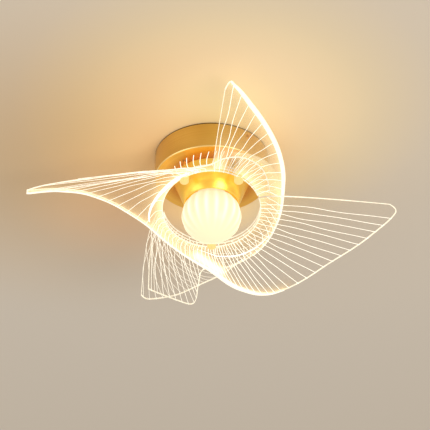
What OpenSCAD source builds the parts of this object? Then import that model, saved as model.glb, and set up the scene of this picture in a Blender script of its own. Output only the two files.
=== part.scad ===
// LED ceiling light: a brass canopy and bell, a ribbed opal globe and three
// engraved acrylic sheets that swirl round it with glowing edges.
// The origin is on the ceiling, on the lamp's axis. The lamp hangs towards -Z.

/* [Canopy] */
// Outside diameter of the canopy
canopy_d = 155; // [148:1:175]
// Depth of the canopy below the ceiling
canopy_h = 39; // [36:1:46]
// Sheet thickness of the canopy
canopy_wall = 1.2; // [1:0.1:1.8]
// Radius of the canopy's lower edge
canopy_edge_r = 2; // [1:0.5:4]

/* [Ceiling bracket] */
// Width of the bracket strip
bracket_w = 20; // [16:1:24]
// Thickness of the bracket strip
bracket_t = 2; // [1.5:0.1:3]
// Depth of the bracket's two ears
ear_h = 16; // [15:1:20]
// Turn of the bracket about the lamp's axis, in degrees
bracket_turn = -50; // [-60:1:-40]
// Distance between the two round ceiling screw holes
ceiling_hole_pitch = 96; // [90:1:104]
// Diameter of the ceiling screw holes and width of the slots
ceiling_hole_d = 5; // [4:0.1:6]
// End-to-end length of a slot
slot_l = 14; // [10:1:16]
// Diameter of the hole for the house cable
cable_hole_d = 14; // [8:1:15]

/* [Bell and globe] */
// Radius of the bell where it meets the canopy
bell_top_r = 52; // [46:1:52]
// Radius of the bell's mouth
bell_mouth_r = 37; // [37:0.5:40]
// Height of the bell
bell_h = 39; // [36:0.5:40]
// Sheet thickness of the bell
bell_wall = 1.2; // [0.8:0.1:1.2]
// Diameter of the glass globe over its ribs
globe_d = 80; // [76:1:80]
// Height of the globe's round body
globe_h = 73; // [70:1:74]
// Depth of the globe's centre below the ceiling
globe_drop = 98; // [98:0.5:101]
// Thickness of the glass
glass_t = 2; // [1.5:0.1:2.2]
// Number of ribs round the globe
globe_ribs = 18; // [12:1:20]
// Height of a rib over the valley beside it
rib_h = 1.2; // [0.6:0.1:1.5]
// Outside diameter of the globe's neck
neck_d = 36; // [35:0.5:36]
// Drop of the globe in one turn of its thread
thread_pitch = 3; // [2:0.5:4]

/* [Lamp fittings] */
// Outside diameter of the hollow nipple
nipple_d = 10; // [9:0.5:11]
// Wall of the nipple
nipple_wall = 1; // [0.8:0.1:1.5]
// Size of the nipple nuts across their flats
nut_af = 14; // [13:0.5:16]
// Thickness of the nipple nuts
nut_h = 4; // [3:0.5:5]
// Inside diameter of the threaded cup that takes the globe
fitter_bore = 42; // [41.5:0.1:43]
// Wall of the threaded cup
fitter_wall = 2; // [1.5:0.1:3]
// Depth of the threaded cup
fitter_h = 19; // [18:0.5:22]
// Diameter of the ceramic lampholder
holder_d = 20; // [18:0.5:24]
// Height of the ceramic lampholder
holder_h = 22; // [20:0.5:24]
// Diameter of the plug-in bulb
bulb_d = 16; // [14:0.5:17]
// Height of the bulb's frosted cap
bulb_h = 38; // [30:1:42]
// Diameter of a bulb pin
pin_d = 2; // [1.5:0.1:2.5]
// Distance between the two bulb pins
pin_pitch = 9; // [8:0.5:10]

/* [Acrylic sheets] */
// Thickness of each acrylic sheet
sheet_t = 3; // [2.5:0.1:3.5]
// Radius of the round opening inside the sheets
rim_r = 66; // [66:0.5:70]
// Width of the flat band round that opening
rim_flat = 4; // [3:0.5:6]
// Distance between neighbouring sheets at the band
sheet_pitch = 6; // [5.6:0.1:7]
// Depth of the lowest sheet's opening below the ceiling
ring_drop = 87; // [85:0.5:90]
// Tilt of the sheets, in degrees, lower at the back
ring_tilt = 15.5; // [13:0.5:16]
// Reach of the swoosh sheet's two horns from the axis
swoosh_reach = 250; // [220:1:280]
// Reach of the fin sheet's front horn from the axis
fin_reach = 216; // [200:1:230]
// Reach of the tail sheet's back horn from the axis
tail_reach = 200; // [180:1:210]
// Largest rise of a sheet out of its band's plane
lift = 25; // [18:0.5:27]
// How far a line leaves the band before it bends
lead = 20; // [15:1:25]

/* [Edge lights] */
// Height of the silicone edge light
glow_h = 6.8; // [6:0.1:7.2]
// Depth of the edge light outside the sheet's edge
glow_w = 6; // [5:0.1:7]
// How far the edge light's lips lie over the sheet
lip_w = 1.6; // [1:0.1:2.4]
// Thickness of the light-emitting tape
tape_t = 1.2; // [0.8:0.1:1.4]
// Width of the light-emitting tape
tape_w = 2.8; // [2.4:0.1:2.8]

/* [Carriers] */
// Distance from the axis to the carrier screws
clamp_r = 62.5; // [62:0.1:63]
// Diameter of the clamp washers
washer_d = 12; // [10:0.5:12.5]
// Thickness of the lowest washer
washer_t = 2; // [1.5:0.1:3]
// Diameter of the washer hubs
hub_d = 6; // [5:0.1:6.4]
// Diameter of the carrier rods
rod_d = 6; // [5:0.1:6.5]
// Thickness of the carrier's foot
foot_h = 4.5; // [4:0.1:5.5]
// Diameter of the small screws
screw_d = 3; // [2.5:0.1:3.2]
// Diameter of the canopy's side screws
side_screw_d = 4; // [3:0.1:5]

/* [Driver and wiring] */
// Length of the driver case
driver_l = 78; // [60:1:84]
// Width of the driver case
driver_w = 36; // [28:1:38]
// Height of the driver case
driver_h = 21; // [18:1:22]
// Length of the terminal block
terminal_l = 30; // [24:1:36]

/* [Hidden] */

BRASS = [0.80, 0.62, 0.32];
STEEL = [0.72, 0.73, 0.75];
OPAL = [1.0, 0.97, 0.86];
CLEAR = [0.95, 0.93, 0.86, 0.45];
GLOW = [1.0, 0.93, 0.72];
CERAMIC = [0.93, 0.92, 0.88];
PLASTIC = [0.90, 0.90, 0.88];

$fn = 72;
eps = 0.01;
// Clearance where one flat or turned piece passes another
clear = 0.1;
// Clearance of a screw in its thread, on the radius
thread_clear = 0.05;
// Clearance between the sheets' outer edges and the silicone that holds them
lip_clear = 0.3;

// Heights of the pieces, from the ceiling down
plate_z = -canopy_h;
plate_top_z = plate_z + canopy_wall;
fitter_top_z = plate_z - bell_wall;
fitter_floor_z = fitter_top_z - fitter_wall;
nipple_top_z = plate_top_z + nut_h + 1;
nipple_end_z = fitter_floor_z - nut_h - 3;
holder_top_z = fitter_floor_z - nut_h;
holder_end_z = holder_top_z - holder_h;
bulb_top_z = holder_end_z - 2 * clear;
bulb_base_h = 8;
pin_l = 9;
neck_gap = 2;
neck_top_z = fitter_floor_z - neck_gap;
neck_lip_h = 2;
neck_lip_w = 1.5;
collar_top_z = neck_top_z - neck_lip_h - clear;
collar_h = 11;
collar_clear = 0.3;

// The side screws' height, on the ears of the bracket
side_screw_z = -(bracket_t + ear_h) / 2;
canopy_bore_r = canopy_d / 2 - canopy_wall;
ear_gap = 0.4;
ear_x = sqrt(pow(canopy_bore_r, 2) - pow(bracket_w / 2, 2)) - ear_gap;

// The clamp stack, measured along the sheets' own normal
slot_half = sheet_t / 2 + clear;
stack_top = 2 * sheet_pitch + slot_half;
CLAMP_ANGLES = [235, 305, 90];

// Each row is one engraved line of a sheet: the angle where it leaves the
// band, the angle where it meets the outer edge, how far out that is as a
// share of the sheet's reach, and how high as a share of the lift
SWOOSH = [
    [339, 339, 0.07, 0.00], [325, 325, 0.11, 0.00], [310, 311, 0.15, 0.00],
    [294, 295, 0.15, 0.00], [281, 281, 0.10, 0.00], [271, 270, 0.04, 0.00],
    [264, 256, 0.02, 0.03], [259, 236, 0.05, 0.10], [256, 213, 0.20, 0.33],
    [254, 195, 0.50, 0.65], [252, 183, 0.99, 1.00], [250, 184, 0.76, 0.95],
    [235, 184, 0.51, 0.70], [213, 177, 0.28, 0.40], [172, 160, 0.10, -0.06],
    [132, 126, 0.07, -0.16], [98, 92, 0.16, -0.36], [80, 73, 0.365, -0.55],
    [69, 63, 0.48, -0.60], [58, 53, 0.545, -0.50], [35, 31, 0.65, -0.10],
    [9, 15, 0.84, 0.30], [-8, 6, 0.98, 0.55], [-14, 3, 1.00, 0.60],
    [-18, 1, 0.95, 0.65]
];
FIN = [
    [-88, -85, 0.87, -0.24], [-87, -84, 0.94, -0.24], [-85.5, -83, 0.95, -0.24],
    [-83.5, -81, 0.90, -0.24], [-77, -72, 0.70, -0.16], [-65, -57, 0.49, -0.08],
    [-48, -36, 0.30, 0.00], [-25, -12, 0.18, 0.04], [5, 21, 0.16, 0.00],
    [45, 56, 0.22, -0.08], [80, 79, 0.25, -0.24], [100, 96, 0.24, -0.40],
    [114, 98, 0.40, -0.56], [124, 98, 0.57, -0.70], [130, 100, 0.65, -0.72],
    [140, 107, 0.64, -0.68], [150, 114, 0.64, -0.56], [160, 122, 0.66, -0.40]
];
TAIL = [
    [168, 120.4, 0.98, 0.12], [160, 117.4, 1.00, 0.12], [148, 112.6, 0.93, 0.12],
    [135, 106, 0.81, 0.08], [118, 98, 0.64, 0.04], [100, 88, 0.50, 0.00],
    [70, 65, 0.30, 0.08], [32, 30, 0.18, 0.16], [-5, -5, 0.16, 0.24],
    [-38, -37, 0.18, 0.34], [-68, -65, 0.15, 0.24], [-98, -95, 0.12, 0.15],
    [-125, -122, 0.09, 0.08], [-138, -138, 0.05, 0.02]
];
// Each sheet: its rows, its reach, its place in the stack and +1 where its
// rows run clockwise seen from above, or -1 where they run the other way
SWOOSH_SHEET = [SWOOSH, swoosh_reach, 0, 1];
FIN_SHEET = [FIN, fin_reach, 1, -1];
TAIL_SHEET = [TAIL, tail_reach, 2, 1];
// Largest share of a line's run outwards that it goes straight before it bends
LEAD_SHARE = 0.4;
// Steps between two rows, and steps along each engraved line
ROW_STEPS = 4;
LINE_STEPS = 7;
// First and last row that carries an edge light
SWOOSH_LIT = [10, 19];
FIN_LIT = [1, 9];
TAIL_LIT = [8, 10];

function unit(v) = v / norm(v);

// A Catmull-Rom curve through b and c
function blend_rows(a, b, c, d, f) =
    0.5 * (2 * b + (c - a) * f + (2 * a - 5 * b + 4 * c - d) * f * f
    + (3 * b - a - 3 * c + d) * f * f * f);

function row_at(rows, t) =
    let (n = len(rows), i = min(floor(t), n - 2))
    blend_rows(rows[max(i - 1, 0)], rows[i], rows[i + 1], rows[min(i + 2, n - 1)], t - i);

// Points of one engraved line, in the sheets' tilted frame: the opening's
// edge, the end of the flat band, then a bend that eases out of the plane
function line_points(sheet, t) =
    let (
        row = row_at(sheet[0], t),
        flat_r = rim_r + rim_flat,
        edge_r = flat_r + row[2] * (sheet[1] - flat_r),
        layer = sheet[2] * sheet_pitch,
        away = [cos(row[0]), sin(row[0])],
        start = flat_r * away,
        edge = edge_r * [cos(row[1]), sin(row[1])],
        bend = start + min(lead, max(0, LEAD_SHARE * (edge - start) * away)) * away
    )
    concat(
        [[rim_r * away[0], rim_r * away[1], layer]],
        [for (k = [0:LINE_STEPS])
            let (v = k / LINE_STEPS, p = (1 - v) * (1 - v) * start + 2 * v * (1 - v) * bend + v * v * edge)
            [p[0], p[1], layer + lift * row[3] * v * v]]
    );

function sheet_grid(sheet) =
    let (last = (len(sheet[0]) - 1) * ROW_STEPS)
    [for (i = [0:last]) line_points(sheet, i / ROW_STEPS)];

// Direction along the rows, at line i and point j of the grid
function along(grid, i, j) = grid[min(i + 1, len(grid) - 1)][j] - grid[max(i - 1, 0)][j];

// The sheet's upward normal: straight up on the flat band
function normal(grid, hand, i, j) =
    j < 2 ? [0, 0, 1]
    : let (
        last = len(grid[0]) - 1,
        out = grid[i][min(j + 1, last)] - grid[i][j == last ? j - 1 : j]
    )
    hand * unit(cross(along(grid, i, j), out));

function flip_faces(faces) = [for (f = faces) [for (k = [len(f) - 1:-1:0]) f[k]]];

// A sheet of even thickness: two skins and the four edges between them
module acrylic(sheet) {
    grid = sheet_grid(sheet);
    hand = sheet[3];
    n = len(grid);
    m = len(grid[0]);
    half = sheet_t / 2;
    points = [for (side = [1, -1], i = [0:n - 1], j = [0:m - 1])
        grid[i][j] + side * half * normal(grid, hand, i, j)];
    low = n * m;
    skins = [for (i = [0:n - 2], j = [0:m - 2])
        let (a = i * m + j, b = a + m, c = b + 1, d = a + 1)
        each [[a, d, c], [a, c, b], [low + a, low + b, low + c], [low + a, low + c, low + d]]];
    rims = [for (i = [0:n - 2])
        let (a = i * m, b = a + m, c = a + m - 1, d = b + m - 1)
        each [[a, b, low + b], [a, low + b, low + a], [low + c, low + d, d], [low + c, d, c]]];
    ends = [for (j = [0:m - 2])
        let (a = j, b = j + 1, c = (n - 1) * m + j, d = c + 1)
        each [[low + a, low + b, b], [low + a, b, a], [c, d, low + d], [c, low + d, low + c]]];
    faces = concat(skins, rims, ends);
    color(CLEAR) in_ring() polyhedron(points, hand > 0 ? faces : flip_faces(faces), convexity = 8);
}

// A closed profile carried along a sheet's lit edge. Profile points are
// [outward from the edge, up along the sheet's normal], anticlockwise.
module along_edge(sheet, lit, profile) {
    grid = sheet_grid(sheet);
    hand = sheet[3];
    last = len(grid[0]) - 1;
    first = lit[0] * ROW_STEPS;
    n = (lit[1] - lit[0]) * ROW_STEPS + 1;
    m = len(profile);
    points = [for (k = [0:n - 1])
        let (
            i = first + k,
            ahead = grid[min(i + 1, first + n - 1)][last] - grid[max(i - 1, first)][last],
            up = hand * unit(cross(ahead, grid[i][last] - grid[i][last - 1])),
            out = hand * unit(cross(up, ahead))
        )
        for (p = profile) grid[i][last] + p[0] * out + p[1] * up];
    sides = [for (k = [0:n - 2], j = [0:m - 1])
        let (a = k * m + j, b = k * m + (j + 1) % m, c = a + m, d = b + m)
        each [[a, b, d], [a, d, c]]];
    caps = [[for (j = [m - 1:-1:0]) j], [for (j = [0:m - 1]) (n - 1) * m + j]];
    faces = concat(sides, caps);
    in_ring() polyhedron(points, hand > 0 ? flip_faces(faces) : faces, convexity = 8);
}

// Places children in the sheets' tilted frame
module in_ring() {
    translate([0, 0, -ring_drop]) rotate([-ring_tilt, 0, 0]) children();
}

// A point of the sheets' tilted frame in the lamp's own frame
function from_ring(p) = [
    p[0],
    p[1] * cos(ring_tilt) + p[2] * sin(ring_tilt),
    p[2] * cos(ring_tilt) - p[1] * sin(ring_tilt) - ring_drop
];

module tube(outer_d, inner_d, h) {
    difference() {
        cylinder(d = outer_d, h = h);
        translate([0, 0, -1]) cylinder(d = inner_d, h = h + 2);
    }
}

// A slot made of two bores and the block between them
module slot(length, width, depth) {
    reach = (length - width) / 2;
    for (x = [-reach, reach]) translate([x, 0, 0]) cylinder(d = width, h = depth);
    translate([-reach, -width / 2, 0]) cube([2 * reach, width, depth]);
}

// A screw whose head sits on z = 0 and whose shank points to -Z
module screw(d, length, head_d, head_h) {
    difference() {
        cylinder(d = head_d, h = head_h);
        translate([-head_d / 3, -d / 8, head_h * 0.6]) cube([head_d * 2 / 3, d / 4, head_h]);
    }
    translate([0, 0, -length]) cylinder(d = d, h = length + eps);
}

// A strip with two bent ears that the canopy is screwed to
module ceiling_bracket() {
    slot_x = ceiling_hole_pitch / 2 - slot_l - 1;
    color(STEEL) rotate([0, 0, bracket_turn]) difference() {
        union() {
            translate([-ear_x, -bracket_w / 2, -bracket_t]) cube([2 * ear_x, bracket_w, bracket_t]);
            for (x = [-ear_x, ear_x - bracket_t])
                translate([x, -bracket_w / 2, -ear_h]) cube([bracket_t, bracket_w, ear_h]);
        }
        for (side = [-1, 1]) {
            translate([side * ceiling_hole_pitch / 2, 0, -bracket_t - 1])
                cylinder(d = ceiling_hole_d, h = bracket_t + 2);
            translate([side * slot_x, 0, -bracket_t - 1])
                slot(slot_l, ceiling_hole_d, bracket_t + 2);
        }
        translate([cable_x, 0, -bracket_t - 1]) cylinder(d = cable_hole_d, h = bracket_t + 2);
        translate([-earth_x, 0, -bracket_t - 1])
            cylinder(d = side_screw_d + 2 * thread_clear, h = bracket_t + 2);
        translate([-ear_x - 1, 0, side_screw_z]) rotate([0, 90, 0])
            cylinder(d = side_screw_d + 2 * thread_clear, h = 2 * ear_x + 2);
    }
}
// Places of the cable hole and the earth screw along the bracket
cable_x = cable_hole_d / 2 + 5;
earth_x = 14;

// A drum with a rounded lower edge, open to the ceiling
module canopy() {
    outer_r = canopy_d / 2;
    arc_r = canopy_edge_r;
    inner_arc = max(arc_r - canopy_wall, 0.2);
    color(BRASS) difference() {
        rotate_extrude() polygon(concat(
            [[outer_r, 0]],
            [for (a = [0:15:90]) [outer_r - arc_r + arc_r * cos(a), plate_z + arc_r - arc_r * sin(a)]],
            [[0, plate_z], [0, plate_top_z]],
            [for (a = [90:-15:0]) [canopy_bore_r - inner_arc + inner_arc * cos(a),
                plate_top_z + inner_arc - inner_arc * sin(a)]],
            [[canopy_bore_r, 0]]
        ));
        translate([0, 0, plate_z - 1]) cylinder(d = nipple_d + 2 * clear, h = canopy_wall + 2);
        for (a = CLAMP_ANGLES)
            translate([rod_place(a)[0], rod_place(a)[1], plate_z - 1])
                cylinder(d = screw_d + 2 * clear, h = canopy_wall + 2);
        rotate([0, 0, bracket_turn]) translate([-outer_r - 1, 0, side_screw_z]) rotate([0, 90, 0])
            cylinder(d = side_screw_d + 4 * clear, h = 2 * outer_r + 2);
    }
}

// Two knurled screws through the canopy's side into the bracket's ears
module side_screws() {
    color(BRASS) rotate([0, 0, bracket_turn])
        for (turn = [0, 180]) rotate([0, 0, turn])
            translate([canopy_d / 2, 0, side_screw_z]) rotate([0, 90, 0])
                screw(side_screw_d, canopy_d / 2 - ear_x + bracket_t + 3, side_screw_d * 1.75, 3);
}

// The earth terminal, driven into the bracket from below
module earth_screw() {
    color(BRASS) rotate([0, 0, bracket_turn]) translate([-earth_x, 0, -bracket_t])
        rotate([180, 0, 0]) screw(side_screw_d, bracket_t - clear, side_screw_d * 1.8, 2.5);
}

// A three-pole block that joins the house cable to the driver
module terminal_block() {
    w = 16;
    h = 14;
    pole = terminal_l / 3;
    color(PLASTIC) translate([0, terminal_y, plate_top_z]) difference() {
        union() {
            translate([-terminal_l / 2, -w / 2, 0]) cube([terminal_l, w, h * 0.6]);
            translate([-terminal_l / 2, -w / 4, 0]) cube([terminal_l, w / 2, h]);
        }
        for (k = [-1:1]) {
            translate([k * pole, -w / 2 - 1, h * 0.35]) rotate([-90, 0, 0]) cylinder(d = 4, h = w + 2);
            for (y = [-w / 2 + 2.5, w / 2 - 2.5])
                translate([k * pole, y, h * 0.35]) cylinder(d = 3, h = h);
        }
        for (k = [-0.5, 0.5])
            translate([k * pole - 0.5, -w, h * 0.6]) cube([1, 2 * w, h]);
    }
}
terminal_y = -45;

// Room for a spanner round the nut on the canopy's plate
spanner_gap = 8;
// Middle of the driver, behind the nipple
driver_y = nut_af / 2 + spanner_gap + driver_w / 2;
driver_ear = 7;
driver_cover_h = 3;

// The power supply's case, with a screw ear at each end
module driver_case() {
    wall = 1.6;
    case_h = driver_h - driver_cover_h;
    color(PLASTIC) translate([0, driver_y, plate_top_z]) difference() {
        union() {
            translate([-driver_l / 2, -driver_w / 2, 0]) cube([driver_l, driver_w, case_h]);
            translate([-driver_l / 2 - driver_ear, -driver_ear, 0])
                cube([driver_l + 2 * driver_ear, 2 * driver_ear, 2]);
        }
        translate([wall - driver_l / 2, wall - driver_w / 2, wall])
            cube([driver_l - 2 * wall, driver_w - 2 * wall, case_h]);
        for (x = driver_screw_x) translate([x, 0, -1]) cylinder(d = screw_d + 2 * clear, h = 4);
        for (x = [-driver_l, driver_l] / 2)
            translate([x - 3, 5 - driver_w / 2, case_h / 2]) rotate([0, 90, 0])
                cylinder(d = 5, h = 6);
    }
}
driver_screw_x = [-(driver_l + driver_ear) / 2, (driver_l + driver_ear) / 2];

// The driver's lid, with cooling slots
module driver_cover() {
    slots = 7;
    color([0.82, 0.82, 0.80]) translate([0, driver_y, plate_top_z + driver_h - driver_cover_h])
        difference() {
            translate([-driver_l / 2, -driver_w / 2, 0]) cube([driver_l, driver_w, driver_cover_h]);
            for (k = [0:slots - 1])
                translate([(k - (slots - 1) / 2) * driver_l / (slots + 2) - 1, -driver_w / 4, -1])
                    cube([2, driver_w / 2, driver_cover_h + 2]);
        }
}

// Two short screws that hold the driver's ears to the canopy
module driver_screws() {
    color(STEEL) for (x = driver_screw_x)
        translate([x, driver_y, plate_top_z + 2]) screw(screw_d, 2, screw_d * 1.9, 2);
}

// The hollow threaded rod that holds the bell, cup and lampholder
module nipple() {
    color(STEEL) translate([0, 0, nipple_end_z])
        tube(nipple_d, nipple_d - 2 * nipple_wall, nipple_top_z - nipple_end_z);
}

// One nut on the canopy's plate and one on the cup's floor
module nipple_nuts() {
    color(STEEL) for (z = [plate_top_z, fitter_floor_z - nut_h]) translate([0, 0, z]) difference() {
        cylinder(d = nut_af / cos(30), h = nut_h, $fn = 6);
        translate([0, 0, -1]) cylinder(d = nipple_d + 2 * thread_clear, h = nut_h + 2);
    }
}

// A thin cone that hides the fittings and caps the globe
module bell() {
    slope = (bell_top_r - bell_mouth_r) / bell_h;
    wall_r = bell_wall * sqrt(1 + slope * slope);
    hole_r = nipple_d / 2 + clear;
    color(BRASS) rotate_extrude() polygon([
        [hole_r, plate_z], [bell_top_r, plate_z], [bell_mouth_r, plate_z - bell_h],
        [bell_mouth_r - wall_r, plate_z - bell_h],
        [bell_top_r - wall_r - bell_wall * slope, plate_z - bell_wall],
        [hole_r, plate_z - bell_wall]
    ]);
}

// The turned cup whose bore takes the globe's threaded collar
module fitter_cup() {
    bore_r = fitter_bore / 2;
    outer_r = bore_r + fitter_wall;
    hole_r = nipple_d / 2 + clear;
    color(BRASS) rotate_extrude() polygon([
        [hole_r, fitter_top_z], [outer_r - 1, fitter_top_z], [outer_r, fitter_top_z - 1],
        [outer_r, fitter_top_z - fitter_h], [bore_r, fitter_top_z - fitter_h],
        [bore_r, fitter_floor_z], [hole_r, fitter_floor_z]
    ]);
}

// A ceramic socket with two pin holes, hung on the nipple's end
module lampholder() {
    nipple_seat = holder_top_z - nipple_end_z + clear;
    color(CERAMIC) difference() {
        translate([0, 0, holder_end_z]) union() {
            cylinder(d = holder_d, h = holder_h);
            cylinder(d = holder_d + 3, h = holder_h / 3);
        }
        translate([0, 0, holder_top_z - nipple_seat])
            cylinder(d = nipple_d + 2 * thread_clear, h = nipple_seat + 1);
        for (x = [-pin_pitch, pin_pitch] / 2)
            translate([x, 0, holder_end_z - 1]) cylinder(d = pin_d + 2 * clear, h = pin_l + 2);
    }
}

// The bulb's body and its two pins
module bulb_base() {
    color(CERAMIC) {
        translate([0, 0, bulb_top_z - bulb_base_h]) cylinder(d = bulb_d - 2, h = bulb_base_h);
        for (x = [-pin_pitch, pin_pitch] / 2)
            translate([x, 0, bulb_top_z - 1]) cylinder(d = pin_d, h = pin_l);
    }
}

// The frosted cap over the bulb's light source, with a domed end
module bulb_cap() {
    r = bulb_d / 2;
    top_z = bulb_top_z - bulb_base_h;
    dome_z = top_z - bulb_h + r;
    color(OPAL) rotate_extrude() polygon(concat(
        [[0, top_z], [r, top_z]],
        [for (a = [0:10:90]) [r * cos(a), dome_z - r * sin(a)]]
    ));
}

// The threaded metal collar round the globe's neck
module globe_collar() {
    bore = neck_d + 2 * collar_clear;
    outer = fitter_bore - 2 * collar_clear;
    color(BRASS) translate([0, 0, collar_top_z - collar_h]) tube(outer, bore, collar_h);
}

// A flattened ball with rounded ribs, open at its lipped neck
module glass_globe() {
    a = globe_d / 2 - rib_h / 2;
    c = globe_h / 2;
    cap_z = 0.85 * c;
    inner_a = a - rib_h / 2 - glass_t;
    inner_c = c - glass_t;
    bore_r = neck_d / 2 - glass_t;
    mouth_angle = acos(bore_r / inner_a);
    color(OPAL) difference() {
        union() {
            translate([0, 0, -globe_drop]) ribbed_ball(a, c, asin(cap_z / c));
            translate([0, 0, cap_z - globe_drop - 1])
                cylinder(d = neck_d, h = neck_top_z + globe_drop - cap_z + 1);
            translate([0, 0, neck_top_z - neck_lip_h])
                cylinder(d = neck_d + 2 * neck_lip_w, h = neck_lip_h);
        }
        rotate_extrude() polygon(concat(
            [for (t = [-90:6:mouth_angle]) [inner_a * cos(t), inner_c * sin(t) - globe_drop]],
            [[bore_r, inner_c * sin(mouth_angle) - globe_drop], [bore_r, neck_top_z + 1],
            [0, neck_top_z + 1]]
        ));
    }
}

// A flattened ball cut flat at its top latitude, whose ribs fade at the poles
module ribbed_ball(a, c, top) {
    around = globe_ribs * 4;
    rows = 14;
    points = concat(
        [for (j = [1:rows], i = [0:around - 1])
            let (
                t = -90 + (top + 90) * j / rows,
                f = 360 * i / around,
                r = a * cos(t) + rib_h / 2 * cos(globe_ribs * f) * pow(cos(t), 2)
            )
            [r * cos(f), r * sin(f), c * sin(t)]],
        [[0, 0, -c]]
    );
    pole = rows * around;
    sides = [for (j = [0:rows - 2], i = [0:around - 1])
        let (k = (i + 1) % around, p = j * around)
        each [[p + i, p + around + i, p + around + k], [p + i, p + around + k, p + k]]];
    foot = [for (i = [0:around - 1]) [pole, i, (i + 1) % around]];
    cap = [[for (i = [around - 1:-1:0]) (rows - 1) * around + i]];
    polyhedron(points, concat(sides, foot, cap), convexity = 4);
}

// Where the rod of the carrier at this angle stands, in the lamp's frame
function rod_place(angle) =
    from_ring([clamp_r * cos(angle), clamp_r * sin(angle), stack_top + foot_h]);

// A rod that hangs from the canopy, with a foot square to the sheets
module carrier(angle) {
    place = rod_place(angle);
    length = plate_z - place[2];
    color(CLEAR) difference() {
        union() {
            in_ring() rotate([0, 0, angle]) translate([clamp_r, 0, stack_top])
                cylinder(d = washer_d, h = foot_h);
            translate(place - [0, 0, foot_h / 2]) cylinder(d = rod_d, h = length + foot_h / 2);
        }
        in_ring() rotate([0, 0, angle]) translate([clamp_r, 0, stack_top - 1])
            cylinder(d = screw_d + 2 * thread_clear, h = foot_h + 1.5);
        translate([place[0], place[1], plate_z - carrier_thread])
            cylinder(d = screw_d + 2 * thread_clear, h = carrier_thread + 1);
    }
}
// Depth of the thread in a carrier's upper end
carrier_thread = 8;

module carrier_left() {
    carrier(CLAMP_ANGLES[0]);
}

module carrier_right() {
    carrier(CLAMP_ANGLES[1]);
}

module carrier_back() {
    carrier(CLAMP_ANGLES[2]);
}

// Screws from inside the canopy down into the carriers
module carrier_screws() {
    color(STEEL) for (a = CLAMP_ANGLES)
        translate([rod_place(a)[0], rod_place(a)[1], plate_top_z])
            screw(screw_d, carrier_thread + canopy_wall - 1, screw_d * 1.9, 2.2);
}

// A disc under each sheet, with a hub that fills the sheet's level
module clamp_washers() {
    color(CLEAR) in_ring() for (a = CLAMP_ANGLES, level = [0:2])
        rotate([0, 0, a]) translate([clamp_r, 0, level * sheet_pitch]) {
            disc_t = level == 0 ? washer_t : sheet_pitch - 2 * slot_half;
            difference() {
                union() {
                    translate([0, 0, -slot_half - disc_t]) cylinder(d = washer_d, h = disc_t);
                    translate([0, 0, -slot_half - disc_t])
                        cylinder(d = hub_d, h = disc_t + 2 * slot_half - clear);
                }
                translate([0, 0, -slot_half - disc_t - 1])
                    cylinder(d = screw_d + 2 * clear, h = disc_t + 2 * slot_half + 2);
            }
        }
}

// Screws from below through each stack into the carrier's foot
module clamp_screws() {
    head_z = -slot_half - washer_t;
    color(BRASS) in_ring() for (a = CLAMP_ANGLES)
        rotate([0, 0, a]) translate([clamp_r, 0, head_z]) rotate([180, 0, 0])
            screw(screw_d, stack_top - head_z + foot_h, screw_d * 2, 2.5);
}

module swoosh_sheet() {
    acrylic(SWOOSH_SHEET);
}

module fin_sheet() {
    acrylic(FIN_SHEET);
}

module tail_sheet() {
    acrylic(TAIL_SHEET);
}

// The silicone trim: a groove for the sheet and the tape, with rounded lips
groove_half = sheet_t / 2 + lip_clear;
// Room behind the tape, and how far in the rounding of the nose begins
tape_room = 1;
nose = 1.5;
groove_d = lip_clear + tape_t + tape_room;
glow_half = glow_h / 2;
GLOW_PROFILE = [
    [-lip_w, groove_half], [groove_d, groove_half], [groove_d, -groove_half],
    [-lip_w, -groove_half], [-lip_w, -glow_half], [glow_w - nose, -glow_half],
    [glow_w, -glow_half / 2], [glow_w, glow_half / 2], [glow_w - nose, glow_half],
    [-lip_w, glow_half]
];
TAPE_PROFILE = [
    [groove_d - tape_t - 5 * clear, -tape_w / 2], [groove_d - 5 * clear, -tape_w / 2],
    [groove_d - 5 * clear, tape_w / 2], [groove_d - tape_t - 5 * clear, tape_w / 2]
];

module swoosh_tape() {
    color(PLASTIC) along_edge(SWOOSH_SHEET, SWOOSH_LIT, TAPE_PROFILE);
}

module fin_tape() {
    color(PLASTIC) along_edge(FIN_SHEET, FIN_LIT, TAPE_PROFILE);
}

module tail_tape() {
    color(PLASTIC) along_edge(TAIL_SHEET, TAIL_LIT, TAPE_PROFILE);
}

module swoosh_glow() {
    color(GLOW) along_edge(SWOOSH_SHEET, SWOOSH_LIT, GLOW_PROFILE);
}

module fin_glow() {
    color(GLOW) along_edge(FIN_SHEET, FIN_LIT, GLOW_PROFILE);
}

module tail_glow() {
    color(GLOW) along_edge(TAIL_SHEET, TAIL_LIT, GLOW_PROFILE);
}

ceiling_bracket();
canopy();
side_screws();
earth_screw();
terminal_block();
driver_case();
driver_cover();
driver_screws();
nipple();
nipple_nuts();
bell();
fitter_cup();
lampholder();
bulb_base();
bulb_cap();
globe_collar();
glass_globe();
carrier_left();
carrier_right();
carrier_back();
carrier_screws();
clamp_washers();
clamp_screws();
swoosh_sheet();
fin_sheet();
tail_sheet();
swoosh_tape();
fin_tape();
tail_tape();
swoosh_glow();
fin_glow();
tail_glow();
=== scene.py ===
"""LED ceiling light: a satin brass canopy and bell, a ribbed opal globe and three
engraved acrylic sheets that swirl round it with glowing edges.

Every surface is worked out in numpy, in millimetres, and handed to Blender in
metres. The lamp hangs from z = 0 towards -Z, and is seen from below.
"""
import math
from collections import namedtuple

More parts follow.
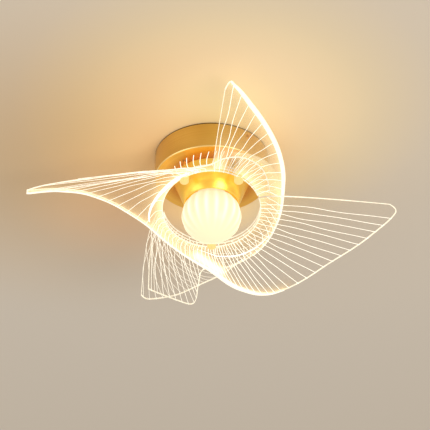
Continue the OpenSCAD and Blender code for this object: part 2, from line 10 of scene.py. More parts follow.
import bmesh
import bpy
import numpy as np
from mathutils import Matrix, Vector


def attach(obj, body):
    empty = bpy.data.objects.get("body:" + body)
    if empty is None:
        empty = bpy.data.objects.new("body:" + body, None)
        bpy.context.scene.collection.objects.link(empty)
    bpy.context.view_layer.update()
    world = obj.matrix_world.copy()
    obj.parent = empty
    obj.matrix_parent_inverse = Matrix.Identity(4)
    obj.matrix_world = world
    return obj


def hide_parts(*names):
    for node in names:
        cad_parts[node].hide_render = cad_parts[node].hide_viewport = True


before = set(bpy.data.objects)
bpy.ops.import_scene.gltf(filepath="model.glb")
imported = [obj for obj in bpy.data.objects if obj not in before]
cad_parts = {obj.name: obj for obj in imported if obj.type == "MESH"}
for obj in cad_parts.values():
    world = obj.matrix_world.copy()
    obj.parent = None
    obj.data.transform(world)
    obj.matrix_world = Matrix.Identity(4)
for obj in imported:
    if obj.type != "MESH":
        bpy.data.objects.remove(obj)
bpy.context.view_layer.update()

MM = 0.001

# The acrylic sheets, as in the part's source: their thickness, the opening's
# radius, the flat band round it, the step from sheet to sheet, the opening's
# depth under the ceiling and its tilt, the rise of a full row, and how far a
# line runs straight out at most, in millimetres and as a share of its way
SHEET_T = 3.0
RIM_R = 66.0
RIM_FLAT = 4.0
SHEET_PITCH = 6.0
RING_DROP = 87.0
RING_TILT = math.radians(15.5)
LIFT = 25.0
LEAD = 20.0
LEAD_SHARE = 0.4

# Rows of each sheet: the angle where a line leaves the flat band, the angle
# where it meets the outer edge, how far out and how high, as shares
SWOOSH_ROWS = [
    (339, 339, 0.07, 0), (325, 325, 0.11, 0), (310, 311, 0.15, 0), (294, 295, 0.15, 0),
    (281, 281, 0.1, 0), (271, 270, 0.04, 0), (264, 256, 0.02, 0.03), (259, 236, 0.05, 0.1),
    (256, 213, 0.2, 0.33), (254, 195, 0.5, 0.65), (252, 183, 0.99, 1), (250, 184, 0.76, 0.95),
    (235, 184, 0.51, 0.7), (213, 177, 0.28, 0.4), (172, 160, 0.1, -0.06), (132, 126, 0.07, -0.16),
    (98, 92, 0.16, -0.36), (80, 73, 0.365, -0.55), (69, 63, 0.48, -0.6), (58, 53, 0.545, -0.5),
    (35, 31, 0.65, -0.1), (9, 15, 0.84, 0.3), (-8, 6, 0.98, 0.55), (-14, 3, 1, 0.6),
    (-18, 1, 0.95, 0.65),
]
FIN_ROWS = [
    (-88, -85, 0.87, -0.24), (-87, -84, 0.94, -0.24), (-85.5, -83, 0.95, -0.24),
    (-83.5, -81, 0.9, -0.24), (-77, -72, 0.7, -0.16), (-65, -57, 0.49, -0.08), (-48, -36, 0.3, 0),
    (-25, -12, 0.18, 0.04), (5, 21, 0.16, 0), (45, 56, 0.22, -0.08), (80, 79, 0.25, -0.24),
    (100, 96, 0.24, -0.4), (114, 98, 0.4, -0.56), (124, 98, 0.57, -0.7), (130, 100, 0.65, -0.72),
    (140, 107, 0.64, -0.68), (150, 114, 0.64, -0.56), (160, 122, 0.66, -0.4),
]
TAIL_ROWS = [
    (168, 120.4, 0.98, 0.12), (160, 117.4, 1, 0.12), (148, 112.6, 0.93, 0.12),
    (135, 106, 0.81, 0.08), (118, 98, 0.64, 0.04), (100, 88, 0.5, 0), (70, 65, 0.3, 0.08),
    (32, 30, 0.18, 0.16), (-5, -5, 0.16, 0.24), (-38, -37, 0.18, 0.34), (-68, -65, 0.15, 0.24),
    (-98, -95, 0.12, 0.15), (-125, -122, 0.09, 0.08), (-138, -138, 0.05, 0.02),
]
# A sheet: its rows, its reach, its place in the stack, +1 where its rows run
# clockwise from above, its first and last row with an edge light, and its
# engraved lines: from which row to which, and how many
Sheet = namedtuple("Sheet", "rows reach layer hand lit lines")
SHEETS = {
    "swoosh": Sheet(SWOOSH_ROWS, 250.0, 0, 1, (10.2, 19), [
        (0, 5, 12), (5, 9, 4), (9, 10, 2), (10, 14, 12), (14, 17, 20), (17, 19, 7), (19, 22.3, 13)]),
    "fin": Sheet(FIN_ROWS, 216.0, 1, -1, (1.8, 9), [
        (1, 6, 9), (6, 9, 11), (9, 12, 10), (12, 17, 11)]),
    "tail": Sheet(TAIL_ROWS, 200.0, 2, 1, (8, 10), [
        (0, 5, 12), (5, 8, 11), (8, 13, 20)]),
}
# Grid steps between two rows, and along each line
ROW_STEPS = 10
LINE_STEPS = 28

# The edge lights' silicone: its height, its width outside the edge, the lips
# over the sheet and their corners, the groove's half height and depth, and
# the cap on a square end
GLOW_H = 6.0
GLOW_W = 4.9
LIP_W = 1.6
LIP_CORNER = 0.5
GROOVE_HALF = 1.8
GROOVE_D = 2.5
CAP_T = 1.5
# The tape in the groove: its thickness, its width and the gap under it
TAPE_T = 1.2
TAPE_W = 2.8
TAPE_GAP = 0.5
# How full each light's silicone is, by the share of the way along it. A first
# end that is more than half full is square and has a cap
FULLNESS = {
    "swoosh": [
        (0, 0.85), (0.03, 0.8), (0.07, 0.55), (0.25, 0.42), (0.45, 0.38), (0.62, 0.34),
        (0.7, 0.6), (0.78, 0.95), (0.88, 0.8), (0.96, 0.4), (1, 0.12)],
    "fin": [(0, 0.12), (0.07, 0.7), (0.15, 0.88), (0.56, 0.85), (0.68, 0.55), (0.8, 0.3), (1, 0.12)],
    "tail": [(0, 0.12), (0.3, 0.9), (0.7, 0.9), (1, 0.12)],
}
# The share of a lip's width that stays where the silicone is at its thinnest,
# and the least fullness that has room for the tape
LEAN_LIP = 0.35
TAPE_NEEDS = 0.3

# The bright bead on a cut edge: outwards in millimetres, and upwards as a
# share of its half height, which is given for the outer edge and the opening's
BEAD = np.array([(-0.7, -1), (0.15, -1), (0.5, -0.5), (0.5, 0.5), (0.15, 1), (-0.7, 1)])
BEAD_HALF = 1.0
RIM_BEAD_HALF = 0.9
# Cut edges of each sheet that shine: along its first line, along its last
# line, and the rows between which its outer edge does
SHINING = {
    "swoosh": (False, True, [(0, 10.2), (19, 24)]),
    "fin": (True, True, [(0, 1.8), (9, 17)]),
    "tail": (True, False, [(0, 8)]),
}
# Bright first and last lines start this far from the opening, and take this
# long to come up to full brightness
BEAD_START = 10.0
BEAD_RISE = 20.0

# The engraved lines: their width and half their height, the height of their
# sideways wave as a share of their length, that wave's two sines in radians
# along a line, and how far it is shifted from one line to the next
ENGRAVED_W = {"swoosh": 0.7, "fin": 0.75, "tail": 0.55}
ENGRAVED_H = 0.3
WAVE = {"swoosh": 0.009, "fin": 0.012, "tail": 0.022}
WAVE_LONG, WAVE_SHORT = 9, 17
WAVE_SHIFT = 2.1
# How far back along the rows a line starts that ends at this row, as a share
# of that row: the tail's first lines sweep out from near its first edge, with
# this power of the way still to go
SWEPT = {"tail": [(0, 0.8), (5, 0.75), (8, 0)]}
SWEEP_POWER = 0.9
# Lines are a little brighter at the opening: by how much, fading over how far
RIM_SHINE = 0.1
RIM_SHINE_FADE = 20.0
# Broad engraved lines on the swoosh: the width, and row parameters and shares
# of the way out. One leaves the opening's edge and turns out to the lit edge,
# and one runs round the opening from the crossing to the right wing
RING_LINES = [
    (5.6, [(11.3, 0.0), (12.33, 0.0), (12.97, 0.03), (13.35, 0.18), (13.56, 0.42), (13.68, 0.63),
           (13.89, 0.93)]),
    (2.4, [(15.7, 0.1), (16.2, 0.26), (16.83, 0.28), (17.43, 0.3), (18.47, 0.32), (19.6, 0.32),
           (20.2, 0.3)]),
]
RING_SHINE = 1.1
RING_STEPS = 70

# Along each sheet's rows: the row, how bright its lines, its outer edge and the
# opening's edge are, how much light leaks at the opening, and the millimetres
# over which that fades
GLOW_COLUMNS = ("row", "lines", "edge", "opening", "leak", "fade")
GLOWS = {
    "swoosh": [
        (0, 1.05, 0.45, 0.8, 0.28, 12), (3, 0.95, 0.6, 0.85, 0.42, 15), (5, 0.8, 0.9, 0.9, 0.55, 16),
        (8, 0.75, 1.05, 1, 0.65, 15), (13.5, 0.8, 1.05, 1.05, 0.8, 16), (15, 0.85, 1.05, 0.9, 0.5, 15),
        (17, 1, 1.05, 0.85, 0.34, 14), (20, 1.05, 1.05, 0.8, 0.24, 12), (24, 1.05, 0.9, 0.75, 0.2, 12)],
    "fin": [
        (0, 0.95, 1, 0.7, 0.75, 26), (4, 0.9, 1.05, 0.7, 0.85, 30), (7, 0.9, 1.05, 0.7, 0.6, 26),
        (9, 0.8, 1.05, 0.7, 0.3, 16), (11, 0.8, 0.8, 0.65, 0.14, 12), (13, 0.6, 0.75, 0.6, 0.08, 10)],
    "tail": [
        (0, 0.6, 0.8, 0.6, 0.08, 10), (5, 0.65, 0.75, 0.6, 0.1, 10), (7, 0.75, 0.6, 0.6, 0.2, 12),
        (9, 0.85, 0.55, 0.6, 0.45, 20), (10.2, 1, 0.55, 0.6, 0.4, 16), (11, 1.7, 0.7, 0.6, 0, 10),
        (13, 1.7, 0.7, 0.6, 0, 10)],
}
# Light that leaks by the edge lights: how much, and over which distance
LIGHT_LEAK = 0.5
LIGHT_LEAK_R = 8.0
# Where the edge lights of two sheets cross and their glow adds up, on the
# swoosh, from one point to another: how much, and how far round
CROSSING = ((-20.0, 80.0, -2.0), (13.0, 104.0, -8.0))
CROSSING_LEAK = 0.9
CROSSING_R = 6.0
# A painted shade at the opening's back, where the sheets' glow is dimmed: how far
# round, and how much of the light
SHADE = (26.0, -69.0, 3.0)
SHADE_R = (10.0, 14.0, 14.0)
SHADE_DEPTH = 0.95

# The canopy, the bell and the globe, as in the part's source
CANOPY_R = 77.5
CANOPY_H = 39.0
CANOPY_WALL = 1.2
CANOPY_EDGE = 2.0
BELL_TOP_R = 52.0
BELL_MOUTH_R = 37.0
BELL_H = 39.0
BELL_WALL = 1.2
NIPPLE_R = 5.0
GLOBE_A = 39.4
GLOBE_C = 36.5
RIB_H = 1.2
GLOBE_RIBS = 18
GLOBE_DROP = 98.0
GLASS_T = 2.0
NECK_R = 18.0
NECK_TOP = -44.2
# The canopy's rolled rim: its roll's radius, and how far down the painted
# shadow line at its top goes. Faces of the canopy that look down this much
# belong to its plate, or to its edge with the painted highlight
CANOPY_ROLL = 0.6
SHADOW_LINE_DEPTH = 1.6
PLATE_DOWN = 0.95
HIGHLIGHT_DOWN = 0.15
# Where the neck leaves the ball, as a share of the ball's half height, and
# how close to the pole the ball's last row is, in radians
NECK_SHARE = 0.85
POLE_GAP = 0.02
# The globe's glow: everywhere, and on its ribs at the brightest height, which
# is this angle, with this spread, in radians
GLOW_ALL = 0.3
GLOW_RIBS = 0.55
GLOW_AT = -0.1
GLOW_SPREAD = 0.55
# Steps round a turned piece and round each of the globe's ribs, and rows up
# the globe's outside and inside
AROUND = 192
RIB_STEPS = 16
OUTER_ROWS = 60
INNER_ROWS = 30
# Points closer than this are one, in metres
MERGE = 0.00001

# The ceiling's painted light and shade, each by distance in metres from a middle:
# a painted pool of the lamp's glow, a painted warm shade to the left, painted light
# from the left horn, and painted light that the globe throws past the canopy
CEILING_PAINTED_LIGHT = [
    ("MIX", (0.02, -0.1), [
        (0.0, "#FFF2C2"), (0.09, "#F9E1B6"), (0.18, "#E6D3AF"), (0.28, "#D3C7B4"), (0.55, "#CFC6B8")]),
    ("MULTIPLY", (-0.22, 0.02), [(0.0, "#F4E0C2"), (0.42, "#FFFFFF")]),
    ("ADD", (-0.11, 0.12), [(0.0, "#704000"), (0.2, "#000000")]),
    ("ADD", (0.0, 0.12), [(0.0, "#A48A38"), (0.12, "#000000")]),
]
# Half the ceiling's side and its height over the canopy's rim, in metres
CEILING_HALF = 6.0
CEILING_Z = 0.0006

# The photo's width and the camera's focal length in its pixels, how far the
# middle of the view is shifted in them, and the camera's distance from the
# canopy's face, that face's height and the angle at which it looks up
PHOTO_W = 430
FOCAL_PX = 1470.6
SHIFT_PX = (3.5, -34.5)
CAMERA_AWAY = 2.0
CAMERA_AIM_Z = -0.039
CAMERA_TILT = math.radians(36)


def in_scene(name, data):
    """A new object of its data, in the scene, at the origin."""
    thing = bpy.data.objects.new(name, data)
    bpy.context.scene.collection.objects.link(thing)
    return thing


def put(name, points, faces, body, material, slot, node=None):
    """A mesh object from points in millimetres and faces. It rides on a body,
    takes its material and may stand for a CAD node. Its slot is not used."""
    mesh = bpy.data.meshes.new(name)
    mesh.from_pydata((np.asarray(points) * MM).tolist(), [], faces)
    mesh.validate()
    mesh.shade_smooth()
    mesh.materials.append(material)
    piece = in_scene(name, mesh)
    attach(piece, body)
    if node:
        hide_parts(node)
    return piece


def paint(piece, name, values):
    """A number for each point of a piece, which its material reads."""
    attribute = piece.data.attributes.new(name, "FLOAT", "POINT")
    attribute.data.foreach_set("value", np.asarray(values, np.float32).reshape(-1))
    return piece


def tidy_normals(piece):
    """Doubles merged and faces turned outwards."""
    bm = bmesh.new()
    bm.from_mesh(piece.data)
    bmesh.ops.remove_doubles(bm, verts=bm.verts, dist=MERGE)
    bmesh.ops.recalc_face_normals(bm, faces=bm.faces)
    bm.to_mesh(piece.data)
    bm.free()
    return piece


def unit(v):
    """Vectors along the last axis, each divided by its length."""
    return v / np.linalg.norm(v, axis=-1, keepdims=True)


def travelled(path):
    """The length along a path at each of its points: the sum of its steps."""
    return np.concatenate([[0], np.cumsum(np.linalg.norm(np.diff(path, axis=0), axis=1))])


def smoothed(values, reach):
    """Values averaged with as many neighbours as the reach on either side."""
    count = 2 * reach + 1
    return np.convolve(np.pad(values, reach, mode="edge"), np.ones(count) / count, "valid")


def grid_faces(rows, cols, wrap=False, start=0):
    """Quads between neighbouring points of a rows by cols grid of indices;
    with wrap, the last column also joins the first."""
    i, j = np.meshgrid(np.arange(rows - 1), np.arange(cols if wrap else cols - 1), indexing="ij")
    a = i * cols + j
    b = i * cols + (j + 1) % cols
    return (np.stack([a, b, b + cols, a + cols], -1).reshape(-1, 4) + start).tolist()


def joined(parts):
    """Pairs of points and faces as one pair: each part's face indices move up
    by the number of points before it."""
    starts = np.cumsum([0] + [len(points) for points, _ in parts]).tolist()
    faces = [[k + start for k in face] for start, (_, part) in zip(starts, parts) for face in part]
    return np.concatenate([points for points, _ in parts]), faces


def carry(path, up, side, profile):
    """A closed profile carried along a path and closed at both ends: each
    profile point goes its first number along side and its second along up.
    The profile is the same all along, or one for each point of the path.
    Returns points and faces."""
    points = path[:, None] + profile[..., :1] * side[:, None] + profile[..., 1:] * up[:, None]
    n, m = points.shape[:2]
    end = np.arange(m)
    faces = grid_faces(n, m, wrap=True)
    faces += [end[::-1].tolist(), (end + (n - 1) * m).tolist()]
    return points.reshape(-1, 3), faces


def circle(count):
    """Angles evenly spaced round a full turn."""
    return np.arange(count) * 2 * math.pi / count


def turned_points(profile, angles):
    """A profile of (radius, height) turned about the lamp's axis: its points
    by profile point and by angle."""
    profile = np.array(profile, float)
    ring = np.stack([np.cos(angles), np.sin(angles)], -1)
    height = np.broadcast_to(profile[:, None, 1:], (len(profile), len(angles), 1))
    return np.concatenate([profile[:, None, :1] * ring, height], -1)


def revolve(profile):
    """A closed profile of (radius, height) turned once about the lamp's axis.
    Returns points and faces."""
    points = turned_points(profile, circle(AROUND)).reshape(-1, 3)
    last = len(points) - AROUND
    k = np.arange(AROUND)
    faces = grid_faces(len(profile), AROUND, wrap=True)
    faces += np.stack([last + k, last + (k + 1) % AROUND, (k + 1) % AROUND, k], -1).tolist()
    return points, faces


def arc(cx, cz, r, start, end, steps=8):
    """Points (radius, height) of an arc about (cx, cz), angles in degrees."""
    a = np.radians(np.linspace(start, end, steps + 1))
    return np.stack([cx + r * np.cos(a), cz + r * np.sin(a)], -1).tolist()


def linear(hex_colour):
    """An sRGB hex value as linear red, green, blue and full alpha."""
    c = np.array([int(hex_colour[k:k + 2], 16) for k in (1, 3, 5)]) / 255
    c = np.where(c <= 0.04045, c / 12.92, ((c + 0.055) / 1.055)**2.4)
    return (*c.tolist(), 1.0)


def add(owner, kind, links=(), stops=(), **settings):
    """Adds a shader node to a material or the world. Links are (input, source
    node, source output), or (input, value) for a plain number. Stops are a
    colour ramp's (position, sRGB hex), and settings are socket or property
    values."""
    tree = owner.node_tree
    node = tree.nodes.new("ShaderNode" + kind)
    for key, value in settings.items():
        name = key.replace("_", " ")
        socket = next((s for s in node.inputs if s.name.lower() == name.lower()), None)
        if socket is not None and not hasattr(node, key):
            socket.default_value = value
        else:
            setattr(node, key, value)
    for name, *source in links:
        if len(source) == 1:
            node.inputs[name].default_value = source[0]
        else:
            tree.links.new(source[0].outputs[source[1]], node.inputs[name])
    if stops:
        elements = node.color_ramp.elements
        for _ in stops[2:]:
            elements.new(0.5)
        for element, (position, colour) in zip(elements, stops):
            element.position = position
            element.color = linear(colour)
    return node


def join(owner, source, output, node, name):
    """Links a node's output to another node's input."""
    owner.node_tree.links.new(source.outputs[output], node.inputs[name])


def noise(material, scale, detail):
    """Noise in the object's own space, with its scale to a metre."""
    place = add(material, "TexCoord")
    return add(material, "TexNoise", [("Vector", place, "Object")], Scale=scale, Detail=detail)


def start_material(name, **shader):
    """A material with a Principled shader and values for its sockets.
    Returns the material and the shader."""
    material = bpy.data.materials.new(name)
    material.use_nodes = True
    bsdf = material.node_tree.nodes["Principled BSDF"]
    for key, value in shader.items():
        bsdf.inputs[key.replace("_", " ")].default_value = value
    return material, bsdf


def spun_brass(name, colour, dark, roughness, lit=0.0, rings=()):
    """Brass sheet, spun on a lathe and brushed while it turned, then lacquered:
    the brushing runs round the axis, so the grain changes with height and
    radius and hardly with the angle. Lit is the strength of a painted glow, an
    emission that stands in for the globe's light thrown about between the brass
    walls, and rings are painted shade by radius in millimetres."""
    # The emission is a painted glow, as strong as lit
    material, bsdf = start_material(
        name, Metallic=1.0, Roughness=roughness, Coat_Weight=0.5, Coat_Roughness=0.2,
        Emission_Color=linear("#FFC040"), Emission_Strength=lit)
    place = add(material, "TexCoord")
    split = add(material, "SeparateXYZ", [("Vector", place, "Object")])
    squares = [add(material, "Math", [(0, split, axis), (1, split, axis)], operation="MULTIPLY")
               for axis in "XY"]
    total = add(material, "Math", [(k, square, 0) for k, square in enumerate(squares)], operation="ADD")
    radius = add(material, "Math", [(0, total, 0)], operation="SQRT")
    grain_at = add(material, "CombineXYZ", [("X", radius, 0), ("Y", split, "Z")])
    # Brushed lines 0.4 mm apart, about four times coarser than real, to show
    grain = add(material, "TexNoise", [("Vector", grain_at, 0)], Scale=2500.0, Detail=2.0)
    # Clouds of tarnish about 70 mm across
    cloud = noise(material, 14.0, 1.0)
    both = add(material, "Math", [(0, grain, 0), (1, cloud, 0)], operation="MULTIPLY")
    ramp = add(material, "ValToRGB", [("Fac", both, 0)], stops=[(0.1, dark), (0.4, colour)])
    tone = (ramp, "Color")
    # Rings of painted shade round the axis, multiplied into the brass
    if rings:
        shade = add(material, "ValToRGB", [("Fac", radius, 0)],
                    stops=[(at * MM, ring_colour) for at, ring_colour in rings])
        shaded = add(material, "Mix", [(0, 1.0), (6, *tone), (7, shade, "Color")],
                     data_type="RGBA", blend_type="MULTIPLY")
        tone = (shaded, 2)
    join(material, *tone, bsdf, "Base Color")
    rough = add(material, "MapRange", [("Value", grain, 0)],
                To_Min=roughness * 0.8, To_Max=roughness * 1.25)
    join(material, rough, "Result", bsdf, "Roughness")
    bump = add(material, "Bump", [("Height", grain, 0)], Strength=0.06, Distance=0.2 * MM)
    join(material, bump, "Normal", bsdf, "Normal")
    return material


def clear_acrylic(name, body_level, sheen_level, tint="#FFE6B0", glow=0.05):
    """Acrylic, clear and polished: hardly seen but for its gloss and a painted
    reflection of the warm surroundings, which grow towards grazing angles, and
    for the warm veil of light that leaks from the sheets near the opening and the
    edge lights. The glow is what the piece gives out all over, in the tint; where
    the piece carries no light, it is a painted glow."""
    material, bsdf = start_material(name, Roughness=0.04, IOR=1.49, Emission_Color=linear(tint))
    # A painted reflection of the warm surroundings in the clear body, in clouds about 30 mm across
    cloud = noise(material, 30.0, 2.0)
    ramp = add(material, "ValToRGB", [("Fac", cloud, 0)], stops=[(0, "#B39260"), (1, "#C4A676")])
    join(material, ramp, "Color", bsdf, "Base Color")
    leak = add(material, "Attribute", attribute_name="leak")
    level = add(material, "MapRange", [("Value", leak, "Fac")], To_Min=glow, To_Max=1.9)
    join(material, level, "Result", bsdf, "Emission Strength")
    facing = add(material, "LayerWeight", Blend=0.35)
    gloss = add(material, "Math", [(0, facing, "Facing"), (1, 3.0)], operation="POWER")
    sheen = add(material, "Math", [(0, gloss, 0), (1, sheen_level), (2, body_level)],
                operation="MULTIPLY_ADD")
    # Light in the acrylic hides what is behind it
    body = add(material, "Math", [(0, leak, "Fac"), (1, 0.8), (2, sheen, 0)],
               operation="MULTIPLY_ADD", use_clamp=True)
    join(material, body, 0, bsdf, "Alpha")
    return material


def lit_cut(name, colour, strength):
    """Laser-engraved grooves and flame-polished cut edges in acrylic, where
    the light that runs inside the sheet comes out: matt, and as bright as
    the light still is there."""
    material, bsdf = start_material(
        name, Roughness=0.6, IOR=1.49, Base_Color=linear("#A0947A"), Emission_Color=linear(colour))
    # Specks 4 mm across, from the laser's pulses, drawn coarse enough to show
    speck = noise(material, 260.0, 1.0)
    level = add(material, "MapRange", [("Value", speck, 0)],
                To_Min=strength * 0.7, To_Max=strength * 1.3)
    shine = add(material, "Attribute", attribute_name="shine")
    spread = add(material, "MapRange", [("Value", shine, "Fac")], To_Min=0.3)
    total = add(material, "Math", [(0, level, "Result"), (1, spread, "Result")], operation="MULTIPLY")
    join(material, total, 0, bsdf, "Emission Strength")
    return material


def lit_silicone(name, colour, strength):
    """Extruded frosted silicone over a light-emitting tape: a soft even glow,
    with a faint beat where the tape's diodes sit."""
    material, bsdf = start_material(
        name, Roughness=0.45, IOR=1.41, Base_Color=linear("#A79F8C"), Subsurface_Weight=0.3,
        Subsurface_Radius=(0.004, 0.003, 0.002), Emission_Color=linear(colour))
    # The tape's diodes sit 8 mm apart
    beat = noise(material, 125.0, 0.0)
    level = add(material, "MapRange", [("Value", beat, 0)],
                To_Min=strength * 0.9, To_Max=strength * 1.1)
    join(material, level, "Result", bsdf, "Emission Strength")
    return material


def opal_glass():
    """Opal glass, blown into a ribbed mould and lit from inside: milky and
    glossy, brightest along the ribs round its middle."""
    material, bsdf = start_material("opal_glass", Roughness=0.4, IOR=1.5, Base_Color=linear("#BDB08C"))
    glow = add(material, "Attribute", attribute_name="glow")
    ramp = add(material, "ValToRGB", [("Fac", glow, "Fac")], stops=[(0, "#FFEBB2"), (1, "#FFFFF6")])
    join(material, ramp, "Color", bsdf, "Emission Color")
    level = add(material, "MapRange", [("Value", glow, "Fac")], To_Min=0.56, To_Max=0.88)
    join(material, level, "Result", bsdf, "Emission Strength")
    return material


def grained(name, colour, dark, roughness, scale, bump_mm, metallic=0.0, ior=1.5):
    """A plain finish with the fine grain of how it was made: plated steel,
    moulded plastic, glazed ceramic. Scale is grains to a metre, and a metal
    keeps the shader's own IOR."""
    material, bsdf = start_material(name, Metallic=metallic, Roughness=roughness)
    if not metallic:
        bsdf.inputs["IOR"].default_value = ior
    grain = noise(material, scale, 3.0)
    ramp = add(material, "ValToRGB", [("Fac", grain, 0)], stops=[(0.3, dark), (0.7, colour)])
    join(material, ramp, "Color", bsdf, "Base Color")
    bump = add(material, "Bump", [("Height", grain, 0)], Strength=0.3, Distance=bump_mm * MM)
    join(material, bump, "Normal", bsdf, "Normal")
    return material


CANOPY_BRASS = spun_brass("spun_brass_satin", "#E3C674", "#CFA958", 0.36)
# The plate: a lighter copy of the canopy's brass with a faint painted glow, and
# painted shade in a ring where it lies in the bell's shade between its rim and the bell
PLATE_BRASS = spun_brass("spun_brass_plate_painted_light_and_shade", "#FAD060", "#EEBB4B", 0.3, lit=0.05, rings=[
    (44, "#FFFFFF"), (51, "#CC9C50"), (57, "#D4A65C"), (70, "#FAEEDC")])
# The bell: polished brass with a painted glow, for the light that the edge lights throw on it
BELL_BRASS = spun_brass("spun_brass_polished_painted_glow", "#FFDA62", "#FCCA4C", 0.32, lit=0.17)
# The bell's inside, with a stronger painted glow for the globe's light on it
GLOW_PAINTED_BRASS = spun_brass("spun_brass_inside_painted_glow", "#FFD878", "#FACB66", 0.4, lit=0.3)
TURNED_BRASS = spun_brass("turned_brass", "#F4C878", "#E0B060", 0.3)
# A light copy of the brass as a painted highlight on the canopy's rounded lower edge
HIGHLIGHT_BRASS = spun_brass("brass_edge_painted_highlight", "#FFE9A6", "#FFDC8C", 0.3)
# A dark copy of the brass as a painted shadow line where the canopy meets the ceiling
SHADOW_LINE_BRASS = spun_brass("brass_rim_painted_shadow", "#6A5028", "#57401E", 0.5)
ACRYLIC = clear_acrylic("cast_acrylic", 0.03, 0.15)
# Small turned pieces get a painted glow all through, for the light they catch from the opening
TURNED_ACRYLIC = clear_acrylic("turned_acrylic_painted_glow", 0.85, 0.1, "#FFD282", glow=0.7)
ROD_ACRYLIC = clear_acrylic("extruded_acrylic_rod", 0.03, 0.08)
ENGRAVED = lit_cut("laser_engraving_lit", "#FFFAEA", 1.3)
CUT_EDGE = lit_cut("polished_cut_edge_lit", "#FFF7E0", 1.0)
SILICONE = lit_silicone("frosted_silicone_lit", "#FFF8E4", 0.95)
SOFT_SILICONE = lit_silicone("frosted_silicone_dimmed", "#FFE9AE", 0.5)
OPAL = opal_glass()
# Grain of 1 mm on plated steel, 0.6 mm on moulded plastic and 3 mm in a glaze
ZINC = grained("zinc_plated_steel", "#B9BCC0", "#9FA3A8", 0.35, 900.0, 0.02, metallic=1.0)
YELLOW_ZINC = grained("yellow_passivated_steel", "#FFDC8C", "#F4C66C", 0.35, 900.0, 0.02, metallic=1.0)
ABS = grained("moulded_white_abs", "#ECEBE6", "#E2E1DB", 0.5, 1600.0, 0.03, ior=1.53)
CERAMIC = grained("glazed_steatite", "#F2EFE6", "#E9E4D6", 0.22, 300.0, 0.02, ior=1.6)
FROSTED = grained("frosted_polycarbonate", "#FFF8E8", "#F8EED6", 0.55, 1200.0, 0.02, ior=1.58)
CIRCUIT = grained("white_flexible_circuit", "#F3F1E8", "#E4E0D0", 0.5, 700.0, 0.02)


def glow_at(name, t, column):
    """A column of a sheet's glow table at row parameters t, blended linearly."""
    table = np.array(GLOWS[name])
    return np.interp(t, table[:, 0], table[:, GLOW_COLUMNS.index(column)])


def rows_at(rows, t):
    """Rows blended at parameters t by a Catmull-Rom curve: each span between
    two rows is the cubic that passes through both, with end slopes half the
    difference of the rows on either side."""
    rows = np.array(rows, float)
    n = len(rows)
    i = np.minimum(np.floor(t).astype(int), n - 2)
    f = (t - i)[..., None]
    a, b = rows[np.maximum(i - 1, 0)], rows[i]
    c, d = rows[i + 1], rows[np.minimum(i + 2, n - 1)]
    return 0.5 * (2 * b + (c - a) * f + (2 * a - 5 * b + 4 * c - d) * f**2
                  + (3 * b - a - 3 * c + d) * f**3)


def on_sheet(name, t, v):
    """Points of a sheet at row parameters t and shares v of the way out: a
    quadratic Bezier curve in plan, from the flat band straight out and then
    towards the outer edge, rising with the square of v."""
    sheet = SHEETS[name]
    row = rows_at(sheet.rows, t)
    inner, outer = np.radians(row[..., 0]), np.radians(row[..., 1])
    flat_r = RIM_R + RIM_FLAT
    edge_r = flat_r + row[..., 2] * (sheet.reach - flat_r)
    away = np.stack([np.cos(inner), np.sin(inner)], -1)
    start = flat_r * away
    edge = edge_r[..., None] * np.stack([np.cos(outer), np.sin(outer)], -1)
    outwards = np.maximum(0, np.sum((edge - start) * away, -1))
    bend = start + np.minimum(LEAD, LEAD_SHARE * outwards)[..., None] * away
    v = np.asarray(v)[..., None]
    plan = (1 - v)**2 * start + 2 * v * (1 - v) * bend + v**2 * edge
    height = sheet.layer * SHEET_PITCH + LIFT * row[..., 3:4] * v**2
    return np.concatenate([plan, height], -1)


def sheet_grid(name, t, steps):
    """Lines of a sheet from the round opening's edge, over the flat band, to
    the outer edge: points by line and by step. The row parameter t is one
    for each line, or one for each of its steps."""
    t = np.broadcast_to(t[:, None] if t.ndim == 1 else t, (len(t), steps + 1))
    curve = on_sheet(name, t, np.linspace(0, 1, steps + 1)[None])
    inner = np.radians(rows_at(SHEETS[name].rows, t[:, 0])[:, 0])
    band = [np.stack([r * np.cos(inner), r * np.sin(inner), curve[:, 0, 2]], -1)
            for r in (RIM_R, RIM_R + RIM_FLAT / 2)]
    return np.concatenate([np.stack(band, 1), curve], 1)


def upwards(name, along, out):
    """Upward normals of a sheet's grid: the cross product of its directions
    from line to line and outwards, and straight up on the flat band."""
    up = SHEETS[name].hand * unit(np.cross(along, out))
    up[:, :3] = (0, 0, 1)
    return up


def sheet_frame(name, t):
    """A sheet's grid with lines at row parameters t, and its upward normals."""
    grid = sheet_grid(name, t, LINE_STEPS)
    return grid, upwards(name, np.gradient(grid, axis=0), np.gradient(grid, axis=1))


def in_ring(points):
    """Points of the sheets' tilted frame in the lamp's own frame: turned
    about X by the tilt and lowered to the opening's middle."""
    x, y, z = points[..., 0], points[..., 1], points[..., 2]
    c, s = math.cos(RING_TILT), math.sin(RING_TILT)
    return np.stack([x, y * c + z * s, z * c - y * s - RING_DROP], -1)


def turned(v):
    """A direction of the sheets' tilted frame in the lamp's frame."""
    return in_ring(v) - in_ring(np.zeros(3))


def from_rim(points):
    """How far points of the sheets' frame are out from the opening's edge."""
    return np.linalg.norm(points[..., :2], axis=-1) - RIM_R


def out_of_shade(points):
    """How much of their glow points of the sheets' own frame keep near the
    spot of painted shade: 1 far from it, and less by a bell curve of the distance."""
    away = (points - np.array(SHADE)) / SHADE_R
    return 1 - SHADE_DEPTH * np.exp(-np.sum(away**2, -1))


